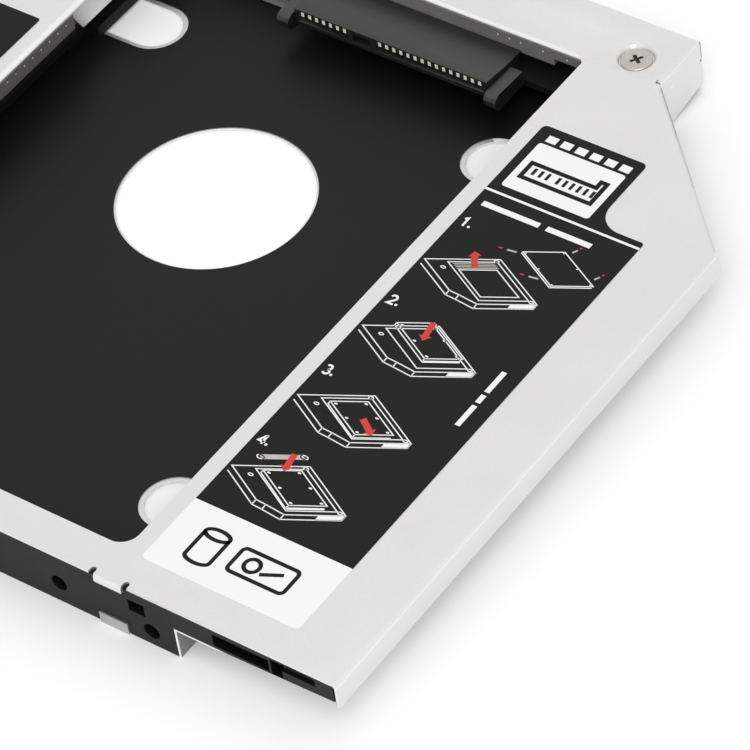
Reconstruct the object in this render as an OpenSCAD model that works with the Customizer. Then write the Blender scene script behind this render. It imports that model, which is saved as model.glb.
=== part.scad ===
// Drive caddy: a folded steel tray with the outline of a slim optical drive,
// which carries a 2.5 inch drive in the laptop's optical bay.
// X runs across the bay with the thin wing at +X, Y runs from the front bar to
// the connectors, Z is up. The origin is under the middle of the whole outline.

/* [Outline] */
// Width over the thin wing
body_w = 128; // [124:0.5:132]
// Depth from the front tabs to the rear wall
body_d = 126.1; // [124:0.1:129]
// Height from the base to the top face
body_h = 9.5; // [9:0.1:12.7]
// Width of the thin wing beside the full height body
wing_w = 26.05; // [24:0.05:29]
// Height of the side wall of the wing
wing_wall_h = 4.3; // [4:0.1:5]
// How far the sloping corner of the wing runs back
wing_corner_d = 25.7; // [20:0.1:28]
// Length of the full height side wall behind that corner
rear_side_d = 10.4; // [9:0.1:14]

/* [Sheet metal] */
// Thickness of the steel sheet
sheet_t = 0.4; // [0.3:0.05:0.5]
// Outer radius of the folded edges
fold_r = 0.7; // [0.5:0.05:1]
// Width of the folded front tabs
tab_w = 4.6; // [3:0.1:6]
// Height of the upper front tabs
top_tab_h = 1.3; // [1:0.1:2]
// Height of the lower front tabs
base_tab_h = 2; // [1.5:0.1:2.5]
// How far the tabs stand in front of the top edge
tab_proud = 0.25; // [0.1:0.05:0.4]

/* [Drive bay] */
// Width of the cover's left strip
left_strip_w = 16.74; // [15:0.01:18]
// Width of the cover between the opening and the wing
right_strip_w = 12.31; // [11:0.01:14]
// Distance from the front edge to the opening
bay_front = 6.1; // [5:0.1:7]
// Distance from the opening to the rear wall
bay_rear = 11.7; // [11:0.1:13]
// Radius of the opening's front corners
bay_corner_r = 2.8; // [1:0.1:4]
// Radius of the opening's rear corners
bay_rear_r = 0.8; // [0.4:0.1:1.5]
// Height of the side rails' upper face
rail_lip_h = 3.7; // [3:0.1:4.5]
// Depth of the groove under that face
rail_groove = 2.2; // [1:0.1:3]
// Length of the cover's tab beside the drive
rail_tab_len = 9.5; // [7:0.1:12]
// Distance of that tab from the rear wall
rail_tab_back = 29.1; // [27:0.1:32]

/* [Floor] */
// Diameter of the large hole in the floor
floor_hole = 29.2; // [20:0.1:32]
// Distance of the large hole from the front
floor_hole_y = 72.9; // [60:0.1:76]
// Distance of the large hole from the opening's middle, towards its left side
floor_hole_off = 0.4; // [0:0.1:1]
// Diameter of the four holes over the drive's screws
screw_access = 8.4; // [6:0.1:9]
// Spacing of the drive's screws across
drive_hole_x = 61.72; // [61.5:0.01:62]
// Spacing of the drive's screws along
drive_hole_y = 76.6; // [76.2:0.1:77]
// Distance of the rear pair of screws from the connector's mouth
drive_hole_back = 7.3; // [6:0.1:9]
// How far each hole's slot reaches out towards the tray's side
access_reach = 7.5; // [6.5:0.1:8.5]
// Thickness of the insulating film
film_t = 0.2; // [0.1:0.05:0.3]
// How much further the film is cut back round each access hole
film_margin = 0.8; // [0.4:0.1:1.2]
// How much further the film is cut back round the large hole
hole_margin = 0.3; // [0.2:0.1:1.2]

/* [Connectors] */
// Distance from the drive connector's mouth to the rear wall
mouth_back = 20.5; // [20:0.1:21.5]
// Distance of the last contact from the opening's right edge
last_contact_x = 12.54; // [11:0.01:14]
// Contact pitch
pitch = 1.27; // [1:0.01:1.3]
// Number of signal contacts
signal_n = 7; // [5:1:7]
// Number of power contacts
power_n = 15; // [11:1:15]
// Number of power contacts on the laptop side
bay_power_n = 6; // [4:1:6]
// Contact pitch of the laptop side's power contacts
bay_pitch = 1; // [0.9:0.01:1.1]
// Distance from the laptop side connector's middle to the left side
bay_plug_x = 26; // [20:0.5:36]
// Width of the laptop side connector
plug_w = 23.4; // [22:0.1:26]
// Thickness of the circuit board
board_t = 1.2; // [0.8:0.1:1.4]
// Depth of the board's top below the top face
board_drop = 5.5; // [5.3:0.1:5.8]

/* [Fasteners] */
// Diameter of the screw shanks
screw_d = 2; // [1.6:0.1:2.5]
// Diameter of the screw heads
head_d = 4.7; // [4:0.1:5]
// Distance of the rear screws from the side walls
screw_side = 5.98; // [5.5:0.01:7]
// Distance of the rear screws from the rear wall
screw_back = 7.59; // [7:0.01:8]
// Diameter of the front panel's peg holes
peg_hole_d = 2.6; // [2:0.1:3]
// Depth of the front panel's peg holes
peg_hole_len = 4; // [3:0.1:4.5]
// Bore of the threaded inserts
insert_d = 1.6; // [1.2:0.1:2]
// Length of the threaded inserts
insert_len = 3.4; // [2.5:0.1:4]
// Depth of the threaded inserts' middle below the top face
insert_drop = 3.5; // [3.2:0.1:4]

/* [Labels] */
// Thickness of the labels
label_t = 0.08; // [0.05:0.01:0.15]
// Width of the right label
label_w = 25.75; // [20:0.05:27]
// Distance of the labels from the front
label_front_gap = 5.65; // [4:0.05:8]
// Distance of the right label's rear end from the wing's rear corner
label_rear_gap = 15.25; // [14:0.05:20]
// Distance of the left label's rear end from the rear wall
left_label_back = 42.1; // [38:0.1:50]
// Width of the right label's narrow rear part
shoulder_w = 17.5; // [14:0.1:20]
// Length of that narrow part
shoulder_len = 13.5; // [10:0.1:16]
// Radius of the right label's hollow corner
shoulder_r = 4; // [2:0.1:5]

/* [Hidden] */
$fn = 48;
eps = 0.01;
fit = 0.1;

// Edges of the outline
left_x = -body_w / 2;
right_x = body_w / 2;
step_x = right_x - wing_w;
front_y = -body_d / 2;
rear_y = body_d / 2;
bar_front_y = front_y + tab_proud;
notch_y = rear_y - rear_side_d;
corner_y = notch_y - wing_corner_d;
relief_w = 0.3;
wall_start_y = notch_y + relief_w / 2;

// Heights
floor_z = sheet_t;
film_top = floor_z + film_t;
cover_z = body_h - sheet_t;
wing_z = body_h - wing_wall_h;
shelf_top = wing_z + sheet_t;
flange_z = cover_z - 3.1;
wall_low = 0.15;

// Drive bay
bay_left = left_x + left_strip_w;
bay_right = step_x - right_strip_w;
bay_mid = (bay_left + bay_right) / 2;
bay_y0 = front_y + bay_front;
bay_y1 = rear_y - bay_rear;
bay_d = bay_y1 - bay_y0;
bar_rear_y = bay_y0 - 0.4;
rail_tab_y1 = rear_y - rail_tab_back;
rail_tab_y0 = rail_tab_y1 - rail_tab_len;
foot_x = bay_left - 0.35;
foot_z = film_top + 1.9;

// The plate's side flanges stand inside the cover's walls, and the mouldings
// stay clear of the inside of the folds
wall_in = sheet_t + fit;
plate_left = left_x + wall_in;
plate_right = step_x - wall_in;
inner_left = plate_left + sheet_t + fit;
inner_right = plate_right - sheet_t - fit;
inner_rear = rear_y - fold_r - 0.05;

// Front bar features, measured from the right end of the full height body
tab_x = step_x - 11.15;
base_tab_x = step_x - 11.45;
peg_high = [step_x - 20.35, 3.85];
peg_low = [step_x - 4.95, 2.75];
catch_x = step_x - 6.9;
bar_mid = (left_x + step_x) / 2;

// Drive connector, placed from the opening's right edge and the rear wall
power_gap = pitch * 5;
contact_x1 = bay_right - last_contact_x;
power_x0 = contact_x1 - (power_n - 1) * pitch;
signal_x1 = power_x0 - power_gap;
contact_x0 = signal_x1 - (signal_n - 1) * pitch;
mouth = rear_y - mouth_back;
board_top = body_h - board_drop;
housing_top = body_h - 1.9;
housing_low = board_top - board_t;
housing_d = 5.6;
housing_slope = 0.7;
housing_side = 1.4;
housing_wall = 0.7;
slot_d = 4.6;
arm_w = 2.1;
arm_gap = 0.25;
contact_w = 0.56;
contact_h = 0.85;
contact_t = 0.25;
contact_z = housing_top - 1.3;
tip_d = 1.6;
slot_low = contact_z - 1.05;
lip_low = contact_z - 1.8;
board_front = mouth + housing_d + 0.6;
housing_rear = board_front + 1.9;

// Board and laptop side connector
board_rear = rear_y - 1.6;
board_left = bay_left + 0.6;
board_right = contact_x1 + 9;
plug_x = left_x + bay_plug_x;
plug_d = 5.2;
plug_top = board_top + 3.2;
plug_mid = (board_top + plug_top) / 2;
plug_split = plug_x + 0.9;

// Drive screws
drive_mid_y = mouth - drive_hole_back - drive_hole_y / 2;

// Fasteners
pocket_r = 3;
pocket_floor_r = 2.55;
pocket_depth = 0.75;
head_t = 0.55;
frame_front = bay_y1 + 0.05;
cover_screw_spots = [[step_x - screw_side, rear_y - screw_back],
                     [left_x + screw_side, rear_y - screw_back]];
board_screw_spots = [[board_left + 2.2, frame_front + 2.2],
                     [board_right - 2.6, board_rear - 2.6]];
base_screw_x = step_x - 14.5;
base_screw_y = front_y + 3.4;
base_screw_spots = concat(cover_screw_spots,
    [[base_screw_x, base_screw_y], [2 * bar_mid - base_screw_x, base_screw_y]]);
base_head_r = 1.9;
base_screw_top = sheet_t + 2.6;
cover_screw_low = base_screw_top + 1.35;
insert_r = 1.6;
insert_spots = [step_x - 12, left_x + 8];
insert_z = body_h - insert_drop;

// Labels
label_left_edge = bay_right + 2.65;
label_front = front_y + label_front_gap;
label_rear = notch_y - label_rear_gap;
shoulder_x = label_left_edge + shoulder_w;
shoulder_y = label_rear - shoulder_len;
label_corner_r = 0.8;

outline = [[right_x, bar_front_y], [right_x, corner_y], [step_x, notch_y],
           [step_x, rear_y], [left_x, rear_y], [left_x, bar_front_y]];

// Geometry helpers

// Unit normal on the left of the line from a to b
function side(a, b) = let (u = (b - a) / norm(b - a)) [-u[1], u[0]];

// Point i of an open path moved inwards by d, on the mitre at a bend
function moved(path, i, d) =
    let (last = len(path) - 1)
    i == 0 ? path[0] + d * side(path[0], path[1]) :
    i == last ? path[last] + d * side(path[last - 1], path[last]) :
    let (n1 = side(path[i - 1], path[i]), n2 = side(path[i], path[i + 1]))
    path[i] + d * (n1 + n2) / (1 + n1 * n2);

// Section of a folded edge: a wall down to z_low with a round bend at the top
function fold_section(z_low, steps = 5) = concat(
    [[0, z_low]],
    [for (k = [0:steps]) let (a = 90 * k / steps)
        [fold_r * (1 - cos(a)), body_h - fold_r * (1 - sin(a))]],
    [for (k = [steps:-1:0]) let (a = 90 * k / steps)
        [fold_r - (fold_r - sheet_t) * cos(a),
         body_h - fold_r + (fold_r - sheet_t) * sin(a)]],
    [[sheet_t, z_low]]);

// A section carried along an open path with mitred bends
module swept(path, section) {
    n = len(path);
    m = len(section);
    polyhedron(
        points = [for (i = [0:n - 1], s = section)
            let (p = moved(path, i, s[0])) [p[0], p[1], s[1]]],
        faces = concat(
            [for (i = [0:n - 2], j = [0:m - 1])
                [i * m + j, i * m + (j + 1) % m,
                 (i + 1) * m + (j + 1) % m, (i + 1) * m + j]],
            [[for (j = [m - 1:-1:0]) j]],
            [[for (j = [0:m - 1]) (n - 1) * m + j]]));
}

// A flat box given by its low and high corners
module block(low, high) {
    translate(low) cube(high - low);
}

// A rectangle with one radius at the front corners and one at the rear corners
module round_rect(x0, x1, y0, y1, r_front, r_rear) {
    for (x = [[x0, 1], [x1, -1]]) {
        translate([x[0] + x[1] * r_front, y0 + r_front]) circle(r_front);
        translate([x[0] + x[1] * r_rear, y1 - r_rear]) circle(r_rear);
    }
    translate([x0 + r_front, y0]) square([x1 - x0 - 2 * r_front, r_front + eps]);
    translate([x0 + r_rear, y1 - r_rear - eps])
        square([x1 - x0 - 2 * r_rear, r_rear + eps]);
    translate([x0, y0 + r_front]) square([x1 - x0, y1 - y0 - r_front - r_rear]);
}

// A hole along Y
module y_hole(x, y, z, d, len) {
    translate([x, y, z]) rotate([-90, 0, 0]) cylinder(d = d, h = len);
}

// Copies at the right end of the front bar and mirrored at its left end
module both_ends() {
    children();
    translate([bar_mid, 0, 0]) mirror([1, 0, 0]) translate([-bar_mid, 0, 0]) children();
}

// The outline of the whole tray, moved inwards
module tray_outline(inset) {
    inner = concat([[right_x - inset, bar_front_y]],
        [for (i = [1:4]) moved(outline, i, inset)],
        [[left_x + inset, bar_front_y]]);
    polygon(inner);
}

// Access holes over the drive's screws, each open towards the tray's side
module access_holes(d, low, high) {
    for (sx = [-1, 1], sy = [-1, 1])
        translate([bay_mid + sx * drive_hole_x / 2,
                   drive_mid_y + sy * drive_hole_y / 2, low]) {
            cylinder(d = d, h = high - low);
            translate([sx > 0 ? 0 : -access_reach, -d / 2, 0])
                cube([access_reach, d, high - low]);
        }
}

module floor_holes(d, access_d, low, high) {
    translate([bay_mid - floor_hole_off, front_y + floor_hole_y, low])
        cylinder(d = d, h = high - low, $fn = 96);
    access_holes(access_d, low, high);
}

// Sheet metal

module top_cover() {
    color("gainsboro") difference() {
        union() {
            difference() {
                translate([0, 0, cover_z]) linear_extrude(sheet_t) tray_outline(fold_r);
                translate([0, 0, cover_z - eps]) linear_extrude(sheet_t + 2 * eps)
                    round_rect(bay_left, bay_right, bay_y0, bay_y1,
                               bay_corner_r, bay_rear_r);
                for (p = cover_screw_spots)
                    translate([p[0], p[1], cover_z - eps])
                        cylinder(r = pocket_r, h = sheet_t + 2 * eps);
            }
            swept([outline[0], outline[1], outline[2]], fold_section(wing_z));
            swept([[step_x, wall_start_y], outline[3], outline[4], outline[5]],
                  fold_section(wall_low));
            for (p = cover_screw_spots) translate([p[0], p[1], 0]) screw_pocket();
            both_ends() front_tab();
            rail_tab();
            corner_lug();
        }
        both_ends() tab_reliefs();
        corner_relief();
        rear_cutouts();
    }
}

// A pressed pocket that takes a screw head below the top face
module screw_pocket() {
    low = body_h - pocket_depth;
    rotate_extrude() polygon([
        [screw_d / 2 + fit, low], [pocket_floor_r, low], [pocket_r - 0.1, body_h],
        [pocket_r + 0.25, body_h], [pocket_r + 0.25, cover_z],
        [pocket_floor_r + 0.3, low - sheet_t], [screw_d / 2 + fit, low - sheet_t]]);
}

// A tab folded down over the front bar
module front_tab() {
    translate([tab_x - tab_w / 2, 0, 0]) rotate([90, 0, 90]) linear_extrude(tab_w)
        polygon([[front_y, body_h - top_tab_h], [front_y + sheet_t, body_h - top_tab_h],
                 [front_y + sheet_t, cover_z - 0.1], [front_y + sheet_t + 0.1, cover_z],
                 [bar_front_y + 1.2, cover_z], [bar_front_y + 1.2, body_h],
                 [front_y + 0.5, body_h], [front_y + 0.15, body_h - 0.15],
                 [front_y, body_h - 0.5]]);
}

// Relief cuts on both sides of a front tab
module tab_reliefs() {
    for (s = [-1, 1])
        translate([tab_x + s * (tab_w / 2 + 0.45), 0, 0]) {
            block([-0.45, bar_front_y - eps, cover_z - eps],
                  [0.45, bar_front_y + 0.6, body_h + eps]);
            translate([0, bar_front_y + 0.6, cover_z - eps])
                cylinder(r = 0.45, h = sheet_t + 2 * eps, $fn = 24);
        }
}

// A tab folded down beside the drive at the rear of the left strip, with its
// lower front corner cut off
module rail_tab() {
    low = cover_z - rail_lip_h - fit;
    translate([bay_left - sheet_t, 0, 0]) rotate([90, 0, 90]) linear_extrude(sheet_t)
        polygon([[rail_tab_y0, cover_z + eps], [rail_tab_y0, cover_z - 0.8],
                 [rail_tab_y0 + 1.6, low], [rail_tab_y1, low], [rail_tab_y1, cover_z + eps]]);
}

// The rear right wall's front end, turned inwards behind the corner relief
module corner_lug() {
    y = wall_start_y + 0.5;
    block([step_x - sheet_t - 0.5, y, wing_z], [step_x - sheet_t + eps, y + sheet_t, cover_z + eps]);
}

// The relief where the wing's sloping wall meets the rear right wall, and the
// seams where the rear wall meets the side walls
module corner_relief() {
    seam = sheet_t - 0.05;
    block([step_x - fold_r - 0.05, notch_y + 0.02, -1],
          [step_x + 1, notch_y + relief_w, body_h + 1]);
    for (x = [step_x - seam, left_x + seam])
        block([x - 0.06, rear_y - 0.8, wing_z], [x + 0.06, rear_y + eps, body_h - fold_r]);
    translate([step_x - 1, 0, 0]) rotate([90, 0, 90]) linear_extrude(2)
        polygon([[notch_y + 1.6, -eps], [rear_y + eps, -eps], [rear_y + eps, 1.5],
                 [notch_y + 1.6, wall_low]]);
}

// Openings in the rear wall for the laptop side connector and the brackets
module rear_cutouts() {
    block([plug_x - plug_w / 2 - 0.4, rear_y - 1, -eps],
          [plug_x + plug_w / 2 + 0.4, rear_y + eps, plug_top + 0.5]);
    for (x = insert_spots) y_hole(x, rear_y - 1, insert_z, 2 * insert_r + 0.4, 1 + eps);
}

module bottom_plate() {
    color("silver") difference() {
        union() {
            intersection() {
                translate([0, rear_y - 0.6, 0]) rotate([90, 0, 0])
                    linear_extrude(body_d) plate_section();
                linear_extrude(body_h) difference() {
                    tray_outline(wall_in);
                    plate_setback();
                }
            }
            both_ends() base_tab();
        }
        floor_holes(floor_hole, screw_access, -eps, floor_z + eps);
        for (p = base_screw_spots)
            translate([p[0], p[1], -eps])
                cylinder(r = screw_d / 2 + fit, h = sheet_t + 2 * eps);
        base_screw_sinks();
        rear_plate_cuts();
    }
}

// Section across the plate: left flange, floor, step wall and wing shelf
module plate_section() {
    polygon([[plate_left, 0], [plate_right, 0], [plate_right, wing_z],
             [right_x, wing_z], [right_x, shelf_top],
             [plate_right - sheet_t, shelf_top], [plate_right - sheet_t, sheet_t],
             [plate_left + sheet_t, sheet_t], [plate_left + sheet_t, flange_z],
             [plate_left, flange_z]]);
}

// The floor stops behind the bar's front flange, and the wing's shelf stops
// short of the front edge towards its outer end
module plate_setback() {
    y = bar_front_y - 1;
    translate([left_x - 1, y]) square([plate_right - sheet_t - left_x + 1, front_y + 1.1 - y]);
    translate([left_x - 1, y]) square([body_w + 2, 1.05]);
    polygon([[step_x + 6, y], [right_x + 1, y], [right_x + 1, bar_front_y + 2.6],
             [step_x + 6, bar_front_y]]);
}

// A tab folded up in front of the bar
module base_tab() {
    half = tab_w / 2 + 0.1;
    translate([base_tab_x, 0, 0]) {
        block([-half, front_y, 0], [half, front_y + sheet_t, base_tab_h]);
        block([-half, front_y, 0], [half, front_y + 2, sheet_t]);
    }
}

module base_screw_sinks() {
    for (p = base_screw_spots)
        translate([p[0], p[1], -eps])
            cylinder(r1 = base_head_r + 0.05, r2 = screw_d / 2 + fit, h = sheet_t + eps);
}

// The plate stays clear of the rear right wall and the laptop side connector
module rear_plate_cuts() {
    block([plate_right - 1.2, notch_y + 0.5, -eps],
          [plate_right + 1, rear_y, body_h]);
    block([plug_x - plug_w / 2 - 0.4, rear_y - 2.2, -eps],
          [plug_x + plug_w / 2 + 0.4, rear_y + 1, floor_z + eps]);
}

module insulating_film() {
    color("dimgray") difference() {
        translate([0, 0, floor_z]) linear_extrude(film_t)
            polygon([[plate_left + 3, bar_rear_y + 0.1], [plate_right - 1.5, bar_rear_y + 0.1],
                     [plate_right - 1.5, board_front - 1], [plate_left + 3, board_front - 1]]);
        floor_holes(floor_hole + 2 * hole_margin, screw_access + 2 * film_margin,
                    floor_z - eps, film_top + eps);
    }
}

// Mouldings

module front_bar() {
    color([0.2, 0.2, 0.2]) difference() {
        union() {
            block([inner_left, bar_front_y, floor_z], [inner_right, bar_rear_y, cover_z]);
            block([left_x + fold_r, bar_front_y, fit],
                  [plate_right - sheet_t - fit / 2, front_y + 0.95, cover_z]);
            translate([0, bar_rear_y, 0]) rotate([90, 0, 0])
                linear_extrude(bar_rear_y - bar_front_y) wing_bar_section();
        }
        both_ends() bar_sockets();
        wing_pockets();
        for (p = base_screw_spots)
            translate([p[0], p[1], floor_z - eps])
                cylinder(d = screw_d, h = 4.2);
        block([bar_mid - 17, front_y + 2.6, floor_z + 0.9],
              [bar_mid + 17, bar_rear_y + eps, cover_z - 0.9]);
    }
}

// Section of the bar along the wing, thinner towards the outer end
module wing_bar_section() {
    end = right_x - fold_r;
    polygon([[plate_right - sheet_t - 1, shelf_top], [step_x + 8, shelf_top],
             [end, shelf_top + 0.5], [end, cover_z], [plate_right - sheet_t - 1, cover_z]]);
}

// Peg holes, catch window and tab pockets for the laptop's front panel
module bar_sockets() {
    for (p = [peg_high, peg_low])
        y_hole(p[0], bar_front_y - eps, p[1], peg_hole_d, peg_hole_len);
    block([catch_x - 1.35, bar_front_y - eps, 5.2], [catch_x + 1.35, bar_front_y + 3.2, 7.35]);
    block([tab_x - tab_w / 2 - 0.15, bar_front_y - eps, body_h - top_tab_h - 0.3],
          [tab_x + tab_w / 2 + 0.15, front_y + sheet_t + 0.1, cover_z + eps]);
    block([base_tab_x - tab_w / 2 - 0.2, bar_front_y - eps, -eps],
          [base_tab_x + tab_w / 2 + 0.2, front_y + sheet_t, base_tab_h + 0.1]);
    block([base_tab_x - tab_w / 2 - 0.2, bar_front_y - eps, -eps],
          [base_tab_x + tab_w / 2 + 0.2, front_y + 1.2, floor_z]);
}

// The recesses in the wing's front for the laptop's eject button
module wing_pockets() {
    y0 = bar_front_y - eps;
    block([right_x - 20.2, y0, body_h - 3.4], [right_x - 11.1, bar_front_y + 3, body_h - 1.2]);
    block([right_x - 10.7, y0, shelf_top + 0.35], [right_x - 8.9, bar_front_y + 2.2, body_h - 0.8]);
    block([right_x - 8.9, y0, body_h - 2.1], [right_x - 3.6, bar_front_y + 0.5, body_h - 0.7]);
}

// A rail beside the drive, given as its section across
module rail(section, y0, y1) {
    translate([0, y1, 0]) rotate([90, 0, 0]) linear_extrude(y1 - y0) polygon(section);
}

module left_rail() {
    x0 = inner_left;
    lip_z = cover_z - rail_lip_h;
    face = bay_left - 0.02;
    color([0.27, 0.27, 0.28]) difference() {
        union() {
            rail([[x0, film_top], [face - rail_groove - 1, film_top],
                  [face - rail_groove, film_top + 1], [face - rail_groove, lip_z - 0.3],
                  [face - rail_groove + 0.3, lip_z], [face, lip_z], [face, cover_z],
                  [x0, cover_z]], bay_y0 + 0.3, rail_tab_y0 - fit);
            rail([[x0, film_top], [face - rail_groove, film_top],
                  [face - rail_groove, lip_z], [face - sheet_t - 0.15, lip_z],
                  [face - sheet_t - 0.15, cover_z], [x0, cover_z]],
                 rail_tab_y0 - 2 * fit, bay_y1 - 1);
            block([face - rail_groove - 1, rail_tab_y0 + 4.8, film_top],
                  [foot_x, bay_y1 - 1, foot_z]);
        }
        translate([foot_x - 0.9, rail_tab_y0 + 7.2, foot_z - 1.5])
            cylinder(d = 1.1, h = 2, $fn = 24);
        rail_cores(x0 + 1.6, face - rail_groove - 1.6);
    }
}

// Cores in the rail's underside, which leave ribs between them
module rail_cores(x0, x1) {
    n = 6;
    y0 = bay_y0 + 2;
    step = (bay_d - 6) / n;
    for (k = [0:n - 1])
        block([x0, y0 + k * step, film_top - eps],
              [x1, y0 + (k + 1) * step - 1.4, cover_z - 2]);
}

module right_rail() {
    x1 = inner_right;
    x0 = bay_right + 1.2;
    lip_z = cover_z - rail_lip_h;
    color([0.27, 0.27, 0.28]) difference() {
        rail([[x0 + rail_groove, film_top], [x1, film_top], [x1, cover_z], [x0, cover_z],
              [x0, lip_z], [x0 + rail_groove - 0.3, lip_z], [x0 + rail_groove, lip_z - 0.3]],
             bay_y0 + 0.3, board_front - 1.2);
        rail_cores(x0 + rail_groove + 1.4, x1 - 1.4);
    }
}

module rear_frame() {
    x0 = inner_left;
    x1 = inner_right;
    beam_z = flange_z;
    right_beam_z = cover_z - 1.6;
    end_front = bay_y1 - 0.9;
    color([0.3, 0.29, 0.31]) difference() {
        union() {
            block([x0, frame_front, beam_z], [bay_right - 5.4, inner_rear, cover_z]);
            block([bay_right - 5.5, frame_front, right_beam_z], [x1, inner_rear, cover_z]);
            block([x0, end_front, floor_z], [board_left - 0.3, inner_rear, cover_z]);
            block([board_right + 0.3, frame_front + 1, floor_z], [x1 - 1.3, inner_rear, cover_z]);
            for (p = board_screw_spots)
                translate([p[0], p[1], board_top]) cylinder(d = 3.8, h = beam_z - board_top + 1);
        }
        for (p = cover_screw_spots) {
            translate([p[0], p[1], body_h - pocket_depth - sheet_t])
                cylinder(r = pocket_r + 0.35, h = pocket_depth + sheet_t);
            translate([p[0], p[1], cover_screw_low - 0.6])
                cylinder(d = screw_d, h = body_h - cover_screw_low);
        }
        for (p = board_screw_spots)
            translate([p[0], p[1], board_top - eps]) cylinder(d = screw_d, h = 3.2);
        for (p = base_screw_spots)
            translate([p[0], p[1], floor_z - eps])
                cylinder(d = screw_d, h = base_screw_top - floor_z + 0.2);
        for (x = insert_spots)
            y_hole(x, inner_rear - insert_len, insert_z, 2 * insert_r, insert_len + 1);
        block([plug_x - plug_w / 2 - 0.1, board_rear - plug_d - 0.1, board_top - eps],
              [plug_x + plug_w / 2 + 0.1, rear_y, plug_top + 0.05]);
    }
}

// Electronics

module connector_board() {
    color([0.1, 0.13, 0.11]) difference() {
        translate([0, 0, board_top - board_t]) linear_extrude(board_t)
            round_rect(board_left, board_right, board_front, board_rear, 0.5, 0.5);
        for (p = board_screw_spots)
            translate([p[0], p[1], 0]) cylinder(d = screw_d + 2 * fit, h = board_top + 1);
    }
}

function contact_xs() = concat(
    [for (i = [0:signal_n - 1]) contact_x0 + i * pitch],
    [for (i = [0:power_n - 1]) power_x0 + i * pitch]);

module drive_connector_housing() {
    x0 = contact_x0 - housing_side;
    x1 = contact_x1 + housing_side;
    color([0.25, 0.25, 0.25]) difference() {
        union() {
            translate([x0, 0, 0]) rotate([90, 0, 90]) linear_extrude(x1 - x0)
                housing_profile();
            for (s = [-1, 1])
                guide_arm(s > 0 ? x1 + arm_gap : x0 - arm_gap - arm_w, s);
        }
        for (x = contact_xs()) {
            block([x - 0.35, mouth - eps, contact_z],
                  [x + 0.35, mouth + tip_d + fit, contact_z + contact_h + 0.05]);
            block([x - 0.35, mouth + tip_d, contact_z],
                  [x + 0.35, housing_rear + eps, contact_z + contact_t + fit]);
        }
        for (ends = [[contact_x0, signal_x1], [power_x0, contact_x1]])
            block([ends[0] - housing_wall, mouth - eps, slot_low],
                  [ends[1] + housing_wall, mouth + slot_d, contact_z + eps]);
        block([signal_x1 + 1.5, mouth - eps, slot_low],
              [power_x0 - 1.7, mouth + slot_d, contact_z + 0.5]);
    }
}

// Side view of the housing: a sloping top over the mouth, an overhanging lip
// below it, a foot on the board's front edge and a hood over the contacts' bends
module housing_profile() {
    top_rear = housing_top - housing_slope;
    hood_low = contact_z + contact_t + fit;
    polygon([[mouth, lip_low], [mouth + 2.2, lip_low], [mouth + 2.2, housing_low],
             [mouth + housing_d + 0.5, housing_low], [mouth + housing_d + 0.5, board_top],
             [housing_rear, board_top], [housing_rear, hood_low],
             [housing_rear + 0.6, hood_low], [housing_rear + 0.6, top_rear - 0.1],
             [mouth + housing_d, top_rear], [mouth + 0.15, housing_top],
             [mouth, housing_top - 0.15]]);
}

// A guide beside the mouth with a round nose, joined to the housing at its rear
module guide_arm(x, s) {
    top = housing_top - 1;
    low = housing_low + 1;
    translate([x, 0, 0]) {
        rotate([90, 0, 90]) linear_extrude(arm_w)
            polygon([[mouth - 1.6, low + 1], [mouth - 0.9, low], [mouth + housing_d, low],
                     [mouth + housing_d, top - 0.4], [mouth - 0.5, top],
                     [mouth - 1.3, top - 0.4], [mouth - 1.6, top - 1]]);
        translate([s > 0 ? -arm_gap - 0.1 : 0, mouth + 3.4, low])
            cube([arm_w + arm_gap + 0.1, housing_d - 3.4, top - low - 0.6]);
    }
}

// Spring contacts, each with a raised tip in the mouth and a foot on the board
module drive_connector_contacts() {
    low = contact_z;
    tip = mouth + 0.1;
    rear = housing_rear + 0.05;
    foot = board_top + contact_t;
    color("gold") for (x = contact_xs())
        translate([x - contact_w / 2, 0, 0]) rotate([90, 0, 90]) linear_extrude(contact_w)
            polygon([[tip, low], [rear, low], [rear, board_top], [rear + 1.15, board_top],
                     [rear + 1.15, foot], [rear + 0.3, foot], [rear + 0.3, low + contact_t],
                     [mouth + tip_d, low + contact_t], [tip + 0.9, low + contact_h],
                     [tip + 0.15, low + contact_h], [tip, low + contact_h - 0.15]]);
}

module bay_connector_housing() {
    color([0.15, 0.15, 0.15]) difference() {
        block([plug_x - plug_w / 2, board_rear - plug_d, board_top],
              [plug_x + plug_w / 2, rear_y - 0.2, plug_top]);
        difference() {
            block([plug_x - plug_w / 2 + 1, board_rear - plug_d + 1.2, board_top + 0.5],
                  [plug_x + plug_w / 2 - 1, rear_y, plug_top - 0.5]);
            block([plug_x - plug_w / 2 + 1.8, board_rear - plug_d, plug_mid - 0.5],
                  [plug_split - 0.6, rear_y - 0.6, plug_mid + 0.5]);
            block([plug_split + 0.6, board_rear - plug_d, plug_mid - 0.5],
                  [plug_x + plug_w / 2 - 1.8, rear_y - 0.6, plug_mid + 0.5]);
        }
    }
}

module bay_connector_contacts() {
    blade = 0.12;
    color("gold") {
        for (i = [0:signal_n - 1])
            plug_blade(plug_split - 1.7 - i * pitch, blade);
        for (i = [0:bay_power_n - 1])
            plug_blade(plug_split + 1.7 + i * bay_pitch, blade);
    }
}

module plug_blade(x, t) {
    block([x - 0.3, board_rear - plug_d + 1.2, plug_mid + 0.5],
          [x + 0.3, rear_y - 0.8, plug_mid + 0.5 + t]);
}

module board_capacitors() {
    color("tan") for (k = [0:2])
        block([contact_x1 + 1.6 + k * 2.1, board_rear - 6.2, board_top],
              [contact_x1 + 3 + k * 2.1, board_rear - 4.7, board_top + 0.9]);
}

module board_resistors() {
    color("black") for (k = [0:5])
        block([plug_x + plug_w / 2 + 2 + k * 2.2, board_rear - 3.4, board_top],
              [plug_x + plug_w / 2 + 2.8 + k * 2.2, board_rear - 1.8, board_top + 0.45]);
}

// Fasteners

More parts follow.
